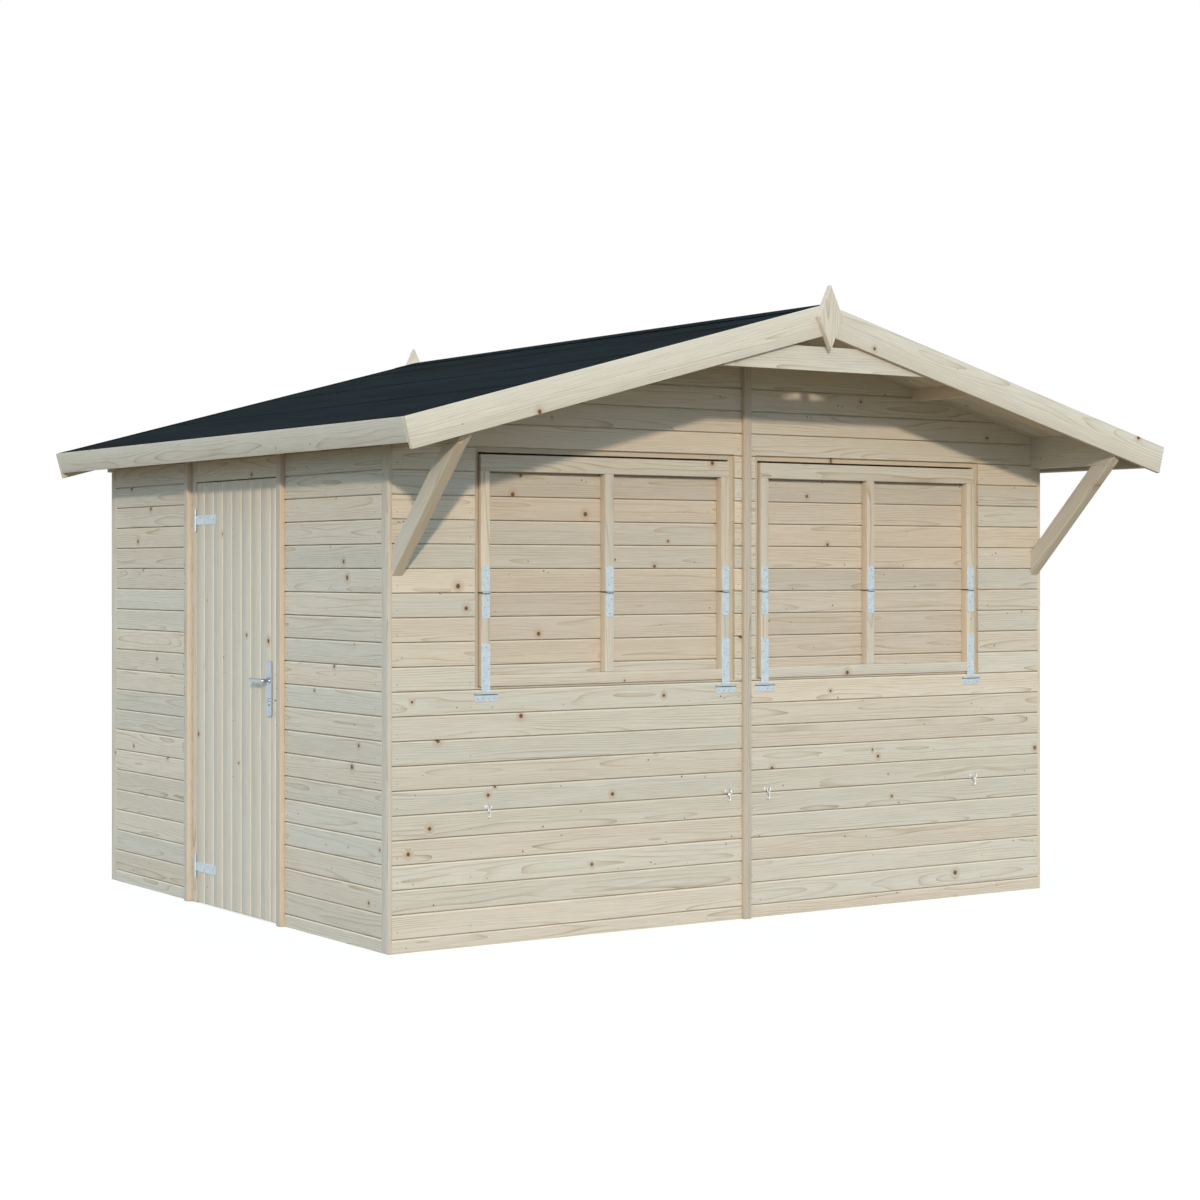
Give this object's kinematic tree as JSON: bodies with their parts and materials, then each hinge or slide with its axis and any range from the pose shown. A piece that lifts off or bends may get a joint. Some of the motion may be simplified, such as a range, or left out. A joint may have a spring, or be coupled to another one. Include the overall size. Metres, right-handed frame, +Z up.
{
  "type": "wooden kiosk",
  "caption": "Boarded timber kiosk with a felted gable roof, a braced front overhang, a side door and folding serving hatches that drop to make counters.",
  "frame": {"origin": "ground level, at the middle of the roof's outline seen from above", "axes": "+X along the front towards the right-hand end, +Y from the front to the back, +Z up"},
  "size_m": [3.866, 3.378, 2.5942],
  "materials": {
    "spruce": "planed, untreated",
    "felt": "matt mineral felt",
    "zinc": "galvanised",
    "lever": "satin"
  },
  "bodies": {
    "hut": {"corner_boards": "spruce", "cover_battens": "spruce", "door_header": "spruce", "door_hinge_bars": "zinc", "door_jambs": "spruce", "eave_beams": "spruce", "eave_braces": "spruce", "eave_fascias": "spruce", "eye_hooks": "zinc", "finials": "spruce", "floor_deck": "spruce", "floor_joists": "spruce", "front_cheeks": "spruce", "front_collar": "spruce", "front_gables": "spruce", "front_skirts": "spruce", "hatch_hinge_bars": "zinc", "left_barge_boards": "spruce", "left_panels": "spruce", "left_roof_deck": "spruce", "rear_panels": "spruce", "right_barge_boards": "spruce", "right_panels": "spruce", "right_roof_deck": "spruce", "roof_felt": "felt", "roof_purlins": "spruce", "stop_strips": "spruce", "wall_rails": "spruce", "wall_studs": "spruce"},
    "door": {"door_leaf": "spruce", "door_ledges": "spruce", "door_straps": "zinc", "lock_plates": "lever"},
    "lever": {"lever_handle": "lever"},
    "left_counter": {"left_lower_frame": "spruce", "left_lower_boards": "spruce", "left_lower_straps": "zinc"},
    "left_flap": {"left_upper_frame": "spruce", "left_upper_boards": "spruce", "left_upper_straps": "zinc"},
    "right_counter": {"right_lower_frame": "spruce", "right_lower_boards": "spruce", "right_lower_straps": "zinc"},
    "right_flap": {"right_upper_frame": "spruce", "right_upper_boards": "spruce", "right_upper_straps": "zinc"}
  },
  "joints": [
    {"name": "door_swing", "type": "hinge", "parent": "hut", "child": "door", "pos_m": [-1.705, 0.601, 0.9], "axis": [0, 0, -1], "range_deg": [0, 100]},
    {"name": "lever_turn", "type": "hinge", "parent": "door", "child": "lever", "pos_m": [-1.7, -0.124, 1], "axis": [-1, 0, 0], "range_deg": [0, 40], "stiffness_Nm_per_rad": 1.5, "springref_deg": -17.19},
    {"name": "left_counter_drop", "type": "hinge", "parent": "hut", "child": "left_counter", "pos_m": [-0.686, -1.13, 0.976], "axis": [1, 0, 0], "range_deg": [0, 90]},
    {"name": "left_flap_fold", "type": "hinge", "parent": "left_counter", "child": "left_flap", "pos_m": [-0.686, -1.13, 1.368], "axis": [1, 0, 0], "range_deg": [0, 135]},
    {"name": "right_counter_drop", "type": "hinge", "parent": "hut", "child": "right_counter", "pos_m": [0.686, -1.13, 0.976], "axis": [1, 0, 0], "range_deg": [0, 90]},
    {"name": "right_flap_fold", "type": "hinge", "parent": "right_counter", "child": "right_flap", "pos_m": [0.686, -1.13, 1.368], "axis": [1, 0, 0], "range_deg": [0, 135]}
  ]
}
